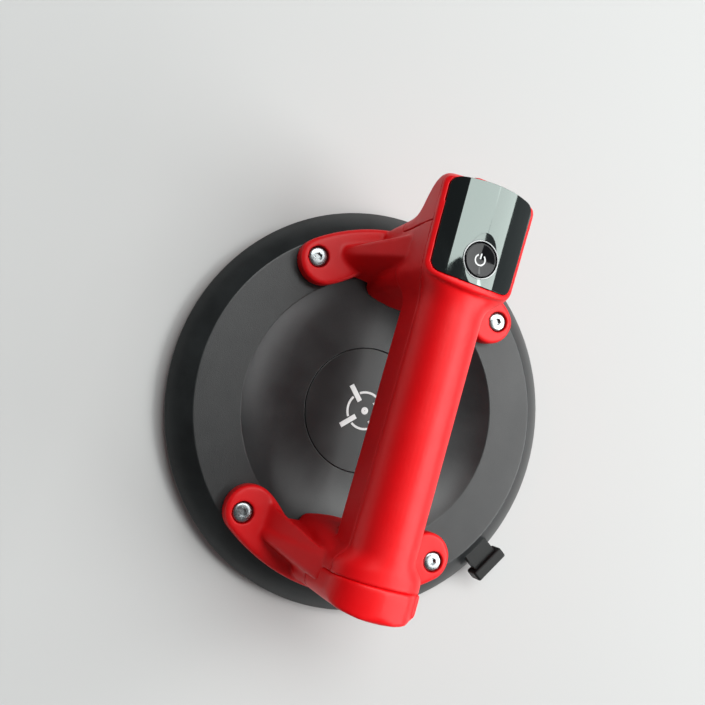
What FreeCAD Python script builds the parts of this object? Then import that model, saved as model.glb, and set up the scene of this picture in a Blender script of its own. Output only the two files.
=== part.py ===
import FreeCAD, Part
import math
import os

# Battery-electric suction lifter for floor tiles: a round base plate with a seal ring,
# a bridge handle on four feet, and the vacuum pump and display in the head of the handle.
# Millimetres. Origin on the base's axis at the floor, +Z up, +Y along the handle to the head.

os.makedirs("parts", exist_ok=True)
V = FreeCAD.Vector
Z_AXIS = V(0, 0, 1)

# ---- base plate
rim_r = 101.5            # outer radius of the plate's rim
rim_z = 6.0              # underside of the rim above the floor
rim_band = 1.1           # upright band round the rim
skirt_bulge = 0.4        # how far the sloping skirt swells out
ring_r_out = 90.1        # flat ring on top of the plate
ring_r_in = 67.0
ring_z = 18.0
ring_edge_r = 0.9        # rounding of the ring's two edges
dish_floor_z = 8.6       # lowest height of the dish, round the centre disc
base_wall = 3.0
rib_count = 12
rib_t = 2.0
rib_clear_z = 5.0        # lowest height of the ribs under the plate
rib_r_in = 36.0

# ---- centre disc
disc_r = 32.0
disc_t = 1.6
disc_gap = 0.35          # groove left round the disc

# ---- seal ring
seal_r_out = 100.2
seal_root_r_out = 97.6
seal_root_w = 7.6
seal_root_h = 3.0        # how deep the root sits in the rim's groove
seal_foot_w = 6.0        # width of the band that touches the floor

# ---- feet and their screws
screw_x = 51.3
screw_y = 63.7
foot_end_x = 47.5
foot_end_r = 12.4
tail_foot_in = 1.6       # how much further the tail's feet reach towards the middle
foot_r_out = 90.8        # outer edge of the feet, round the base's axis
foot_h = 8.0             # thickness of the foot plates
foot_edge_r = 2.0
notch_x, notch_y = 27.0, 63.5     # inner corner between foot and pillar
foot_waist = (36.5, 55.0)         # where the foot's inner edge bends
head_screw_r = 4.7
head_screw_h = 2.75
screw_shank_r = 2.4
screw_len = 12.0
screw_socket_r = 1.73    # 3 mm hexagon, across corners
screw_socket_h = 1.6
counterbore_r = 5.3
screw_seat_z = 22.6
screw_hole_r = 2.75
insert_r = 3.5
insert_h = 9.0
insert_bore_r = 2.5
boss_r = 5.6

# ---- struts between feet and pillars
strut_top_z = 65.0       # where a strut meets its pillar
strut_y_in = 70.0
strut_y_out = 82.6
strut_tip_x = 40.5
strut_tip_y = 69.2
strut_tip_w = 3.0
strut_foot_y = 60.5      # inner edge of a strut at its foot
strut_edge_r = 1.3

# ---- handle bar
bar_half_w = 15.3
bar_bottom_z = 52.0
seam_z = 75.7            # parting line between lower frame and top shell
bar_top_z = 92.0
bar_corner_r = 5.0
bar_taper = 0.8          # how much narrower the bar is at its bottom
flare_sink = 0.15         # how far the tail flare runs in under the tail block
bar_gusset_r = 9.0       # rounding under the bar at each pillar
handle_wall = 2.6
handle_dish_gap = 0.1    # clearance of the pillars over the dish
seam_groove = 0.5
seam_depth = 0.5

# ---- pillars
pillar_half_w = 21.0
pillar_front_y = 54.5    # inner face at the base
pillar_bulge = 3.0       # how far the end faces swell out in the middle
pillar_corner_r = 5.0
tail_y_base = 89.2       # outer face at the base, in the middle
tail_y_top = 89.6
tail_front_top_y = 66.0
tail_seam_y = 74.5       # parting line of the tail cap
tail_edge_r = 4.0
cap_bottom_z = 47.0

# ---- head
head_half_w = 22.3       # at the bar side
head_half_w_end = 23.4   # at the outer end
head_front_y = 62.0
head_y_base = 91.4       # outer face at the base, in the middle
head_y_end = 109.2       # outer face at the rim
crown_top_z = 94.6
crown_r = 37.0
rim_edge_r = 1.3
flare_step = 1.4         # drop from the crown to the flare's top at the panel's front rim
head_parting_z = 84.4
head_seam_y = 84.5       # parting line of the head's end cover

# ---- display panel and power button
panel_y0, panel_y1 = 60.8, 106.6
panel_half_w = 20.2      # at the bar side
panel_half_w_end = 21.3
panel_corner_r = 5.0
panel_bulge = 1.4
panel_t = 2.0
panel_gap = 0.2
panel_proud = 0.15
panel_skin = 1.4         # skin of the top shell under the panel
panel_ledge = 2.4        # ledge of the top shell that the panel rests on
button_y = 72.3
button_r = 7.75
button_clear = 0.3
button_travel = 0.6
button_ring_w = 0.6
dimple_r = 11.2
dimple_depth = 0.9
flange_w = 1.2
flange_h = 1.0

# ---- control board and what it carries
board_z = 82.0           # underside of the board
board_t = 1.5
board_half_w = 17.4
board_y0, board_y1 = 63.0, 102.0
board_post_x = 15.0
board_post_in = 3.0      # from the board's ends to the posts
board_post_r = 2.3
board_screw_r = 1.0
tact_w = 6.0
tact_h = 3.5
display_w, display_l, display_h = 25.0, 19.0, 5.0
sensor_w, sensor_h = 5.6, 4.0
port_w, port_h, port_l = 8.94, 3.26, 7.3

# ---- charge cover, a rubber plug held by a leg
cover_w, cover_h = 16.0, 6.6
cover_gap = 0.3
cover_floor_y = 107.3    # floor of the recess it lies in
cover_face_y = 110.4
cover_plug_depth = 2.0
cover_plug_gap = 0.35
cover_leg_x = 6.6
cover_leg_r = 0.8
cover_leg_clear = 0.3
cover_leg_drop = 0.4
cover_barb_r = 1.4
cover_travel = 6.0

# ---- pump
pump_x, pump_y = 6.3, 75.5
pump_pad_h = 2.0
pump_w = 21.0
pump_h = 18.0
pump_chamber_r = 7.5
pump_chamber_h = 9.0
motor_r = 10.4
motor_h = 28.0
shaft_r = 1.0
shaft_clear = 0.06
eccentric_r = 4.5
eccentric_off = 0.8
eccentric_h = 5.0
sleeve_t = 1.1
sleeve_h = 20.0

# ---- air line
air_x, air_y = -10.0, 70.0
barb_r = 2.4
thin_barb_r = 1.5
air_bore_r = 1.0
branch_rise = 10.0       # height of the pump's inlet above its foot
hose_t = 1.3
port_flange_r = 4.6
filter_r = 3.4
filter_t = 1.2

# ---- battery
cell_r = 9.15
cell_l = 65.0
cell_z = 71.6
cell_gap = 0.25
contact_t = 0.6
battery_y0 = -71.0       # tail end of the rear cell
spring_turns = 4
spring_wire = 0.35

# ---- release valve
valve_angle = -33.2      # direction of the knob round the base
knob_z = 12.0            # middle of the knob's stem
knob_r_out = 109.4
knob_head_t = 6.0
knob_head_w = 20.0
knob_head_h = 9.0
knob_edge_r = 1.2
knob_stem_w = 14.6
knob_stem_h = 4.4
knob_stem_r_in = 88.0
knob_travel = 3.5
knob_gap = 0.3
rod_z = 11.0
rod_r = 1.4
rod_clear = 0.06
valve_body_r = 3.9
valve_body_r0 = 70.0
valve_body_r1 = 86.0
valve_bore_r = 3.0
valve_wall = 2.0
vent_r = 1.7
poppet_r = 2.6
poppet_t = 1.6
collar_t = 1.2
carrier_r = 5.4
release_spring_r = 2.3
release_spring_turns = 5


# ---------------------------------------------------------------- helpers
def save(shape, node):
    shape.exportStep("parts/" + node + ".step")


def cylinder(r, h, x=0.0, y=0.0, z=0.0, axis=Z_AXIS):
    return Part.makeCylinder(r, h, V(x, y, z), axis)


def tube(r_out, r_in, h, x=0.0, y=0.0, z=0.0):
    return cylinder(r_out, h, x, y, z).cut(cylinder(r_in, h, x, y, z))


def block(x0, x1, y0, y1, z0, z1):
    return Part.makeBox(x1 - x0, y1 - y0, z1 - z0, V(x0, y0, z0))


def arc(a, m, b):
    return Part.Arc(a, m, b).toShape()


def line(a, b):
    return Part.LineSegment(a, b).toShape()


def chain(edges):
    return Part.Wire(Part.__sortEdges__(edges))


def revolve(edges):
    return Part.Face(chain(edges)).revolve(V(0, 0, 0), Z_AXIS, 360)


def polyline(points):
    return [line(a, b) for a, b in zip(points, points[1:])]


def corner_curve(a, corner, b):
    """Rounded corner from a to b, leaving both along their straight lines."""
    curve = Part.BezierCurve()
    curve.setPoles([a, corner, b])
    return curve.toShape()


def quarters(shape):
    """The shape and its mirror images in the other three quarters of the base."""
    other = shape.mirror(V(0, 0, 0), V(1, 0, 0))
    pair = [shape, other]
    return pair + [s.mirror(V(0, 0, 0), V(0, 1, 0)) for s in pair]


def mirror_x(shape):
    return shape.mirror(V(0, 0, 0), V(1, 0, 0))


def on_valve_axis(shape):
    """Turns a shape built along +X into the release valve's direction."""
    turned = shape.copy()
    turned.rotate(V(0, 0, 0), Z_AXIS, valve_angle)
    return turned


# ---------------------------------------------------------------- base
def dish_arc_radius():
    run = ring_r_in - (disc_r + disc_gap)
    rise = ring_z - dish_floor_z
    return (run * run + rise * rise) / (2 * rise)


def dish_point(r, offset=0.0):
    """Point of the dish's surface at radius r, moved in by offset along the surface normal."""
    radius = dish_arc_radius()
    lean = math.asin((r - disc_r - disc_gap) / radius)
    reach = radius + offset
    x = disc_r + disc_gap + reach * math.sin(lean)
    z = dish_floor_z + radius - reach * math.cos(lean)
    return V(x, 0, z)


def dish_edge(offset=0.0):
    mid = (disc_r + disc_gap + ring_r_in) / 2
    return arc(dish_point(disc_r + disc_gap, offset), dish_point(mid, offset),
               dish_point(ring_r_in, offset))


def base_plate():
    disc_edge = disc_r + disc_gap
    seat_z = dish_floor_z - disc_t
    groove_in = seal_root_r_out - seal_root_w
    groove_z = rim_z + seal_root_h
    under_z = ring_z - base_wall
    inner_end = dish_point(ring_r_in, base_wall)
    skirt_mid = V((ring_r_out + rim_r) / 2 + skirt_bulge, 0, (ring_z + rim_z + rim_band) / 2 + skirt_bulge)
    top = polyline([V(0, 0, seat_z), V(disc_edge, 0, seat_z), V(disc_edge, 0, dish_floor_z)])
    top.append(dish_edge())
    top.append(line(V(ring_r_in, 0, ring_z), V(ring_r_out, 0, ring_z)))
    top.append(arc(V(ring_r_out, 0, ring_z), skirt_mid, V(rim_r, 0, rim_z + rim_band)))
    rim = polyline([V(rim_r, 0, rim_z + rim_band), V(rim_r, 0, rim_z), V(seal_root_r_out, 0, rim_z),
                    V(seal_root_r_out, 0, groove_z), V(groove_in, 0, groove_z), V(groove_in, 0, rim_z),
                    V(groove_in - base_wall, 0, rim_z), V(groove_in - base_wall, 0, under_z),
                    V(inner_end.x, 0, under_z), inner_end])
    floor_z = dish_floor_z - base_wall
    under = [dish_edge(base_wall)]
    under += polyline([V(disc_edge, 0, floor_z), V(0, 0, floor_z), V(0, 0, seat_z)])
    plate = revolve(top + rim + under)
    round_edges = [e for e in plate.Edges if edge_at(e, ring_r_in, ring_z) or edge_at(e, ring_r_out, ring_z)]
    return plate.makeFillet(ring_edge_r, round_edges)


def edge_at(edge, r, z):
    """True for a circle about the base's axis with this radius and height."""
    curve = edge.Curve
    if not hasattr(curve, "Radius"):
        return False
    return abs(curve.Radius - r) < 0.01 and abs(curve.Center.z - z) < 0.01


def under_ribs():
    """Radial ribs and screw bosses that stiffen the plate from below."""
    groove_in = seal_root_r_out - seal_root_w - base_wall / 2
    low_out = V(groove_in, 0, rib_clear_z)
    up_out = V(groove_in, 0, ring_z - base_wall / 2)
    half = base_wall / 2
    start = dish_point(rib_r_in, half)
    end = dish_point(ring_r_in, half)
    mid = dish_point((rib_r_in + ring_r_in) / 2, half)
    edges = [line(V(start.x, 0, rib_clear_z), low_out), line(low_out, up_out), line(up_out, end),
             arc(end, mid, start), line(start, V(start.x, 0, rib_clear_z))]
    rib = Part.Face(chain(edges)).extrude(V(0, rib_t, 0))
    rib.translate(V(0, -rib_t / 2, 0))
    ribs = []
    for i in range(rib_count):
        copy = rib.copy()
        copy.rotate(V(0, 0, 0), Z_AXIS, 360.0 / rib_count * (i + 0.5))
        ribs.append(copy)
    boss = cylinder(boss_r, ring_z - base_wall / 2 - rib_clear_z, screw_x, screw_y, rib_clear_z)
    return ribs + quarters(boss)


def base_shell():
    shell = base_plate()
    shell = shell.multiFuse(under_ribs() + [valve_carrier()])
    cuts = quarters(cylinder(insert_r, insert_h, screw_x, screw_y, ring_z - insert_h))
    cuts += quarters(cylinder(insert_bore_r, ring_z - rib_clear_z, screw_x, screw_y, rib_clear_z + base_wall))
    cuts.append(cylinder(port_flange_r, filter_t + base_wall, air_x, air_y,
                         ring_z - base_wall - filter_t - 1.0))
    cuts.append(cylinder(barb_r, base_wall * 2, air_x, air_y, ring_z - base_wall))
    cuts.append(on_valve_axis(valve_space()))
    return shell.cut(Part.makeCompound(cuts)).removeSplitter()


def centre_disc():
    body = cylinder(disc_r, disc_t, 0, 0, dish_floor_z - disc_t)
    top = [e for e in body.Edges if edge_at(e, disc_r, dish_floor_z)]
    return body.makeFillet(0.4, top)


def seal_ring():
    """Silicone ring: a root pressed into the rim and a lip that spreads to the floor."""
    root_in = seal_root_r_out - seal_root_w
    top_z = rim_z + seal_root_h
    foot_in = seal_r_out - seal_foot_w
    pts = [V(root_in, 0, top_z), V(seal_root_r_out, 0, top_z), V(seal_root_r_out, 0, rim_z),
           V(seal_r_out - 0.9, 0, rim_z), V(seal_r_out, 0, 2.0), V(seal_r_out, 0, 0.6),
           V(seal_r_out - 0.6, 0, 0), V(foot_in, 0, 0)]
    edges = polyline(pts)
    inner_z = rim_z - 0.4
    edges.append(line(pts[-1], V(foot_in - 0.8, 0, 0.8)))
    edges.append(arc(V(foot_in - 0.8, 0, 0.8), V(foot_in - 0.2, 0, 3.4), V(root_in, 0, inner_z)))
    edges.append(line(V(root_in, 0, inner_z), pts[0]))
    return revolve(edges)


# ---------------------------------------------------------------- handle: outlines
def crown_z(x):
    """Height of the head's crowned top at this distance from the middle."""
    return crown_top_z - crown_r + math.sqrt(crown_r * crown_r - x * x)


def bar_section(y, grow, inset=0.0):
    """Cross-section of the bar at y; grow from 0 to 1 widens it into the head."""
    half = bar_half_w + grow * (head_half_w - bar_half_w) - inset
    low = half - bar_taper * (1 - grow)
    top = bar_top_z + grow * (crown_top_z - flare_step - bar_top_z) - inset
    shoulder = seam_z + grow * (crown_z(head_half_w) - rim_edge_r - seam_z)
    return handle_wire(y, half, low, top, bar_bottom_z + inset, shoulder)


def tail_section(y, grow, inset=0.0):
    """Cross-section of the bar at y; grow from 0 to 1 widens it into the tail block."""
    half = bar_half_w + grow * (pillar_half_w - bar_half_w) - inset
    low = half - bar_taper * (1 - grow)
    top = bar_top_z - inset - flare_sink * grow
    return handle_wire(y, half, low, top, bar_bottom_z + inset, seam_z)


def half_ellipse(y, half, top, shoulder):
    """Curved top from one shoulder over the middle to the other."""
    steps = 8
    pts = [V(-half * math.cos(math.pi * i / steps), y,
             shoulder + (top - shoulder) * math.sin(math.pi * i / steps))
           for i in range(steps + 1)]
    curve = Part.BSplineCurve()
    curve.interpolate(Points=pts, InitialTangent=V(0, 0, 1), FinalTangent=V(0, 0, -1))
    return curve.toShape()


def handle_wire(y, half, low, top, bottom, shoulder):
    """Closed section: curved top over straight sides, with rounded bottom corners."""
    r = bar_corner_r
    right = line(V(half, y, shoulder), V(low, y, bottom + r))
    right_corner = corner_curve(V(low, y, bottom + r), V(low, y, bottom), V(low - r, y, bottom))
    floor = line(V(low - r, y, bottom), V(r - low, y, bottom))
    left_corner = corner_curve(V(r - low, y, bottom), V(-low, y, bottom), V(-low, y, bottom + r))
    left = line(V(-low, y, bottom + r), V(-half, y, shoulder))
    return Part.Wire([half_ellipse(y, half, top, shoulder), right, right_corner, floor, left_corner, left])


def plan_wire(z, half_in, half_out, y_in, y_out, bulge_in, bulge_out, corner_r):
    """Horizontal section of a pillar: straight sides, swelling ends, rounded corners."""
    edges = []

    def end_point(x, y_mid, bulge, half, sign):
        return V(x, y_mid - sign * bulge * (x / half) ** 2, z)

    def lean(t):
        return half_in + (half_out - half_in) * t

    for half, y_mid, bulge, sign in ((half_out, y_out, bulge_out, 1), (half_in, y_in, bulge_in, -1)):
        x_arc = half - corner_r
        left = end_point(-x_arc, y_mid, bulge, half, sign)
        right = end_point(x_arc, y_mid, bulge, half, sign)
        y_corner = y_mid - sign * bulge
        edges.append(arc(left, V(0, y_mid, z), right))
        t = corner_r / abs(y_out - y_in)
        side = lean(1 - t) if sign > 0 else lean(t)
        for point, s in ((left, -1), (right, 1)):
            edges.append(corner_curve(point, V(s * half, y_corner, z),
                                      V(s * side, y_corner - sign * corner_r, z)))
    ends = [(lean(corner_r / abs(y_out - y_in)), y_in + bulge_in + corner_r),
            (lean(1 - corner_r / abs(y_out - y_in)), y_out - bulge_out - corner_r)]
    for s in (-1, 1):
        edges.append(line(V(s * ends[0][0], ends[0][1], z), V(s * ends[1][0], ends[1][1], z)))
    return chain(edges)


def head_levels(inset):
    """Horizontal sections of the head pillar, from the base up past the crown."""
    y_end = head_y_end - inset
    swell = pillar_bulge
    rows = [(8.0, 0.0, 0.0, 0.0), (18.0, 0.0, 0.0, 0.0), (43.0, 0.10, 0.1, 0.3), (59.0, 0.23, 0.2, 0.5),
            (67.0, 0.47, 0.6, 0.7), (72.5, 0.82, 0.8, 0.8), (76.5, 0.97, 0.9, 0.9),
            (82.0, 1.0, 1.0, 1.0), (100.0, 1.0, 1.0, 1.0)]
    wires = []
    for z, reach, spread, front in rows:
        y_out = head_y_base - inset + reach * (y_end - head_y_base + inset)
        y_in = pillar_front_y + inset + front * (head_front_y - 4.0 - pillar_front_y)
        half_in = pillar_half_w + spread * (head_half_w - pillar_half_w) - inset
        half_out = pillar_half_w + spread * (head_half_w_end - pillar_half_w) - inset
        bulge_out = swell + reach * (2.0 - swell)
        wires.append(plan_wire(z, half_in, half_out, y_in, y_out, pillar_bulge, bulge_out, pillar_corner_r))
    return wires


def tail_levels(inset):
    rows = [(8.0, 0.0, 0.0), (30.0, 0.25, 0.1), (55.0, 0.7, 0.45), (76.0, 1.0, 1.0), (96.0, 1.0, 1.0)]
    half = pillar_half_w - inset
    wires = []
    for z, reach, front in rows:
        y_out = tail_y_base - inset + reach * (tail_y_top - tail_y_base)
        y_in = pillar_front_y + inset + front * (tail_front_top_y - pillar_front_y)
        wires.append(plan_wire(z, half, half, y_in, y_out, pillar_bulge, pillar_bulge, pillar_corner_r))
    return wires


def under_crown(inset=0.0, rise=0.0):
    """Everything below the head's crowned top."""
    reach = head_half_w_end + 6.0
    top = crown_z(reach) - inset + rise
    mid = crown_top_z - inset + rise
    edges = [arc(V(-reach, 40, top), V(0, 40, mid), V(reach, 40, top))]
    edges += polyline([V(reach, 40, top), V(reach, 40, 0), V(-reach, 40, 0), V(-reach, 40, top)])
    return Part.Face(chain(edges)).extrude(V(0, 80, 0))


def head_block(inset=0.0, top_inset=0.0):
    loft = Part.makeLoft(head_levels(inset), True, False)
    body = loft.common(under_crown(top_inset))
    if inset > 0:
        return body
    rim = [e for e in body.Edges if e.optimalBoundingBox().ZMin > head_parting_z]
    return body.makeFillet(rim_edge_r, rim)


def under_tail_top(inset=0.0):
    """Everything below the rounded top of the tail block."""
    half = pillar_half_w - inset
    wide = half + 5.0
    edges = [half_ellipse(0, half, bar_top_z - inset, seam_z)]
    edges += polyline([V(half, 0, seam_z), V(wide, 0, seam_z), V(wide, 0, 0), V(-wide, 0, 0),
                       V(-wide, 0, seam_z), V(-half, 0, seam_z)])
    return Part.Face(chain(edges)).extrude(V(0, -110, 0))


def tail_nose(inset=0.0):
    """Side outline that rounds the top of the tail's end."""
    y_end = -(tail_y_top + 0.6 - inset)
    top = bar_top_z + 0.05 - inset
    r = tail_edge_r
    lean = r * (1 - math.sqrt(0.5))
    edges = [arc(V(-40, y_end, top - r), V(-40, y_end + lean, top - lean), V(-40, y_end + r, top))]
    edges += polyline([V(-40, y_end + r, top), V(-40, 0, top), V(-40, 0, 0),
                       V(-40, y_end, 0), V(-40, y_end, top - r)])
    return Part.Face(chain(edges)).extrude(V(80, 0, 0))


def tail_block(inset=0.0):
    loft = Part.makeLoft(tail_levels(inset), True, False)
    body = loft.mirror(V(0, 0, 0), V(0, 1, 0)).common(under_tail_top(inset))
    return body.common(tail_nose(inset))


def bar_body(inset=0.0):
    """The bar with its two flares, from the tail block to the head."""
    straight = Part.Face(bar_section(-60.0, 0.0, inset)).extrude(V(0, 108.0, 0))
    head_rows = [(48.0, 0.0), (51.0, 0.04), (55.0, 0.25), (59.0, 0.70), (62.0, 0.93), (65.0, 0.97)]
    to_head = Part.makeLoft([bar_section(y, g, inset) for y, g in head_rows], True, False)
    tail_rows = [(-60.0, 0.0), (-62.5, 0.08), (-65.5, 0.5), (-68.5, 0.9), (-72.0, 0.95)]
    to_tail = Part.makeLoft([tail_section(y, g, inset) for y, g in tail_rows], True, False)
    return [straight, to_head, to_tail]


def gusset(sign):
    """Rounding between the bar's underside and a pillar's inner face."""
    y0 = pillar_front_y + 1.6
    r = bar_gusset_r
    low, high = bar_bottom_z - r, bar_bottom_z + 3.0
    lean = r * (1 - math.sqrt(0.5))
    edges = [arc(V(0, y0 - r, bar_bottom_z), V(0, y0 - lean, bar_bottom_z - lean), V(0, y0, low)),
             line(V(0, y0, low), V(0, y0 + 8, low)), line(V(0, y0 + 8, low), V(0, y0 + 8, high)),
             line(V(0, y0 + 8, high), V(0, y0 - r, high)),
              line(V(0, y0 - r, high), V(0, y0 - r, bar_bottom_z))]
    half = bar_half_w - bar_taper - bar_corner_r
    solid = Part.Face(chain(edges)).extrude(V(2 * half, 0, 0))
    solid.translate(V(-half, 0, 0))
    if sign < 0:
        solid = solid.mirror(V(0, 0, 0), V(0, 1, 0))
    return solid


def foot_plate(tip_y):
    """Outline of both feet at one end, with the web that joins them through the pillar."""
    tip_len = math.hypot(foot_end_x, tip_y)
    web_x, web_y = pillar_half_w - 4.0, notch_y - 1.0

    def on_tip(angle):
        lean = math.radians(angle)
        return foot_end_x + foot_end_r * math.cos(lean), tip_y + foot_end_r * math.sin(lean)

    outer = (foot_r_out * foot_end_x / tip_len, foot_r_out * tip_y / tip_len)
    side_x = foot_end_x + foot_end_r
    side_y = (foot_r_out * foot_r_out - side_x * outer[0]) / outer[1]
    edges = []
    for s in (-1, 1):
        def at(point):
            return V(s * point[0], point[1], ring_z)
        edges.append(corner_curve(at(outer), at((side_x, side_y)), at(on_tip(0))))
        edges.append(arc(at(on_tip(0)), at(on_tip(-56)), at(on_tip(-112))))
        edges.append(corner_curve(at(on_tip(-112)), at((foot_waist[0], foot_waist[1] + tip_y - screw_y)),
                                  at((notch_x, notch_y))))
        edges.append(line(at((notch_x, notch_y)), at((web_x, web_y))))
    edges.append(line(V(-web_x, web_y, ring_z), V(web_x, web_y, ring_z)))
    edges.append(arc(V(-outer[0], outer[1], ring_z), V(0, foot_r_out, ring_z), V(outer[0], outer[1], ring_z)))
    plate = Part.Face(chain(edges)).extrude(V(0, 0, foot_h))
    rounded = []
    for e in plate.Edges:
        box = e.optimalBoundingBox()
        if box.ZMin > ring_z + foot_h - 0.01 and max(box.XMax, -box.XMin) > notch_x + 1.0:
            rounded.append(e)
    return plate.makeFillet(foot_edge_r, rounded)


def strut():
    """Wedge rib from a foot up the side of its pillar, in the +X +Y quarter."""
    floor_z = ring_z + 1.0
    inner_x = pillar_half_w - 3.0
    slope = (strut_top_z - ring_z - foot_h) / (strut_tip_x - pillar_half_w)
    top_z = strut_top_z + slope * 3.0
    root = [V(inner_x, strut_foot_y, floor_z), V(inner_x, strut_y_out, floor_z),
            V(inner_x, strut_y_out, top_z), V(inner_x, strut_y_in, top_z)]
    tip_z = ring_z + foot_h
    tip = [V(strut_tip_x, strut_foot_y + 1.5, floor_z), V(strut_tip_x, strut_tip_y + strut_tip_w, floor_z),
           V(strut_tip_x, strut_tip_y + strut_tip_w, tip_z), V(strut_tip_x, strut_tip_y, tip_z)]
    wires = [Part.Wire(polyline(pts + [pts[0]])) for pts in (root, tip)]
    rib = Part.makeLoft(wires, True, True)
    top_edges = [e for e in rib.Edges if e.BoundBox.ZMax > top_z - 1 and e.BoundBox.XMax > inner_x + 5]
    return rib.makeFillet(strut_edge_r, top_edges)


# ---------------------------------------------------------------- handle: shells
def base_top_cutter():
    """Everything below the plate's top surface, with a hair of clearance over the dish."""
    lift = -handle_dish_gap
    edges = polyline([V(0, 0, -5), V(0, 0, dish_floor_z + handle_dish_gap),
                      dish_point(disc_r + disc_gap, lift)])
    edges.append(dish_edge(lift))
    last = dish_point(ring_r_in, lift)
    edges += polyline([last, V(ring_r_in + 0.2, 0, ring_z), V(rim_r + 20, 0, ring_z), V(rim_r + 20, 0, -5),
                       V(0, 0, -5)])
    return revolve(edges)


def handle_form():
    """Outer form of bar, head and tail in one."""
    parts = bar_body() + [head_block(), tail_block(), gusset(1), gusset(-1)]
    return parts[0].multiFuse(parts[1:])


def handle_hollow():
    """Space inside the handle: battery tube, head chamber and the cores of the pillars."""
    bar_hollow = Part.Face(bar_section(-tail_seam_y, 0.0, handle_wall)).extrude(V(0, 138.0, 0))
    head_hollow = head_block(handle_wall, panel_t + panel_skin)
    tail_hollow = tail_block(handle_wall)
    floor_slab = block(-30, 30, -110, 0, bar_bottom_z - 1.0, bar_bottom_z + handle_wall)
    return bar_hollow.multiFuse([head_hollow, tail_hollow.cut(floor_slab)])


def frame_feet():
    struts = [strut(), mirror_x(strut())]
    feet = foot_plate(screw_y).multiFuse(struts)
    tail = foot_plate(screw_y - tail_foot_in).multiFuse(struts).mirror(V(0, 0, 0), V(0, 1, 0))
    return [feet, tail.cut(tail_block().common(tail_region()))]


def screw_holes():
    holes = cylinder(screw_hole_r, foot_h + 2, screw_x, screw_y, ring_z - 1)
    sink = cylinder(counterbore_r, foot_h, screw_x, screw_y, screw_seat_z)
    return quarters(holes) + quarters(sink)


def above_parting():
    """Region of the top shell: over the bar's seam, sweeping up to the head's rim."""
    curve = Part.BezierCurve()
    curve.setPoles([V(-40, 51, seam_z), V(-40, 58, seam_z),
                    V(-40, 57, head_parting_z), V(-40, 64, head_parting_z)])
    edges = [curve.toShape()]
    edges += polyline([V(-40, 64, head_parting_z), V(-40, 130, head_parting_z), V(-40, 130, 120),
                       V(-40, -tail_seam_y, 120), V(-40, -tail_seam_y, seam_z), V(-40, 51, seam_z)])
    return Part.Face(chain(edges)).extrude(V(80, 0, 0))


def tail_region():
    return block(-40, 40, -120, -tail_seam_y, cap_bottom_z, 120)


def end_region():
    return block(-40, 40, head_seam_y, 130, cap_bottom_z, head_parting_z)


def seam_grooves():
    """Fine grooves along the parting lines, cut into the outside only."""
    half = seam_groove / 2
    slabs = [block(-40, 40, -tail_seam_y, 52, seam_z - half, seam_z + half),
             block(-40, 40, -tail_seam_y - half, -tail_seam_y + half, cap_bottom_z, 120),
             block(-40, 40, head_seam_y - half, head_seam_y + half, cap_bottom_z, head_parting_z),
             block(-40, 40, -120, -tail_seam_y, cap_bottom_z - half, cap_bottom_z + half),
             block(-40, 40, head_seam_y, 130, cap_bottom_z - half, cap_bottom_z + half)]
    inner = bar_body(seam_depth) + [head_block(seam_depth, seam_depth), tail_block(seam_depth)]
    core = inner[0].multiFuse(inner[1:])
    return slabs[0].multiFuse(slabs[1:]).cut(core)


def panel_prism(shrink):
    """Upright prism over the display panel's outline, smaller all round by shrink."""
    corner = max(panel_corner_r - shrink, 0.8)
    wire = plan_wire(60, panel_half_w - shrink, panel_half_w_end - shrink,
                     panel_y0 + shrink, panel_y1 - shrink,
                     panel_bulge, panel_bulge, corner)
    return Part.Face(wire).extrude(V(0, 0, 60))


def board_posts():
    """Places of the four posts that carry the control board."""
    ys = (board_y0 + board_post_in, board_y1 - board_post_in)
    return [(s * board_post_x, y) for s in (-1, 1) for y in ys]


def top_shell(walls):
    shell = walls.common(above_parting()).cut(panel_prism(panel_ledge))
    low = board_z + board_t
    posts = [cylinder(board_post_r, crown_z(board_post_x) - panel_t - low + 0.2, x, y, low)
             for x, y in board_posts()]
    shell = shell.multiFuse(posts).cut(panel_prism(0.0).cut(under_crown(panel_t)))
    pilots = [cylinder(board_screw_r - 0.1, 4.5, x, y, low) for x, y in board_posts()]
    flange_room = cylinder(button_r + flange_w + 0.4, 60, 0, button_y, low).common(under_crown(panel_t))
    return shell.cut(Part.makeCompound(pilots)).cut(flange_room)


def lower_frame(walls):
    body = walls.cut(above_parting()).cut(tail_region()).cut(end_region())
    body = body.multiFuse(frame_feet())
    body = body.cut(handle_hollow())
    body = body.multiFuse(motor_ribs())
    body = body.cut(Part.makeCompound(screw_holes()))
    return body.cut(base_top_cutter())


def motor_ribs():
    """Two rings in the head pillar that hold the pump's rubber sleeve."""
    ribs = []
    space = head_block(handle_wall - 0.3, panel_t + panel_skin)
    for z in (motor_z() + 4.0, motor_z() + 4.0 + sleeve_h - rib_t):
        plate = block(-25, 25, 50, head_seam_y - 0.1, z, z + rib_t)
        hole = cylinder(motor_r + sleeve_t, rib_t * 2, pump_x, pump_y, z - 1)
        air = block(-30, air_x + 5.0, 50, air_y + 6.0, z - 1, z + 5)
        ribs.append(plate.common(space).cut(hole).cut(air))
    return ribs


def tail_cap(walls):
    return walls.common(tail_region())


def head_end_cover(walls):
    body = walls.common(end_region())
    mid_z = cover_mid_z()
    recess = rounded_plate(cover_w + 2 * cover_gap, cover_h + 2 * cover_gap, cover_floor_y, 120, 0, mid_z)
    slot = rounded_plate(port_w + 2 * cover_plug_gap, port_h + 2 * cover_plug_gap, 90, 120, 0, mid_z)
    leg = cylinder(cover_leg_r + cover_leg_clear, 30, cover_leg_x, 90, mid_z - cover_leg_drop, V(0, 1, 0))
    return body.cut(recess).cut(slot).cut(leg)


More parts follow.
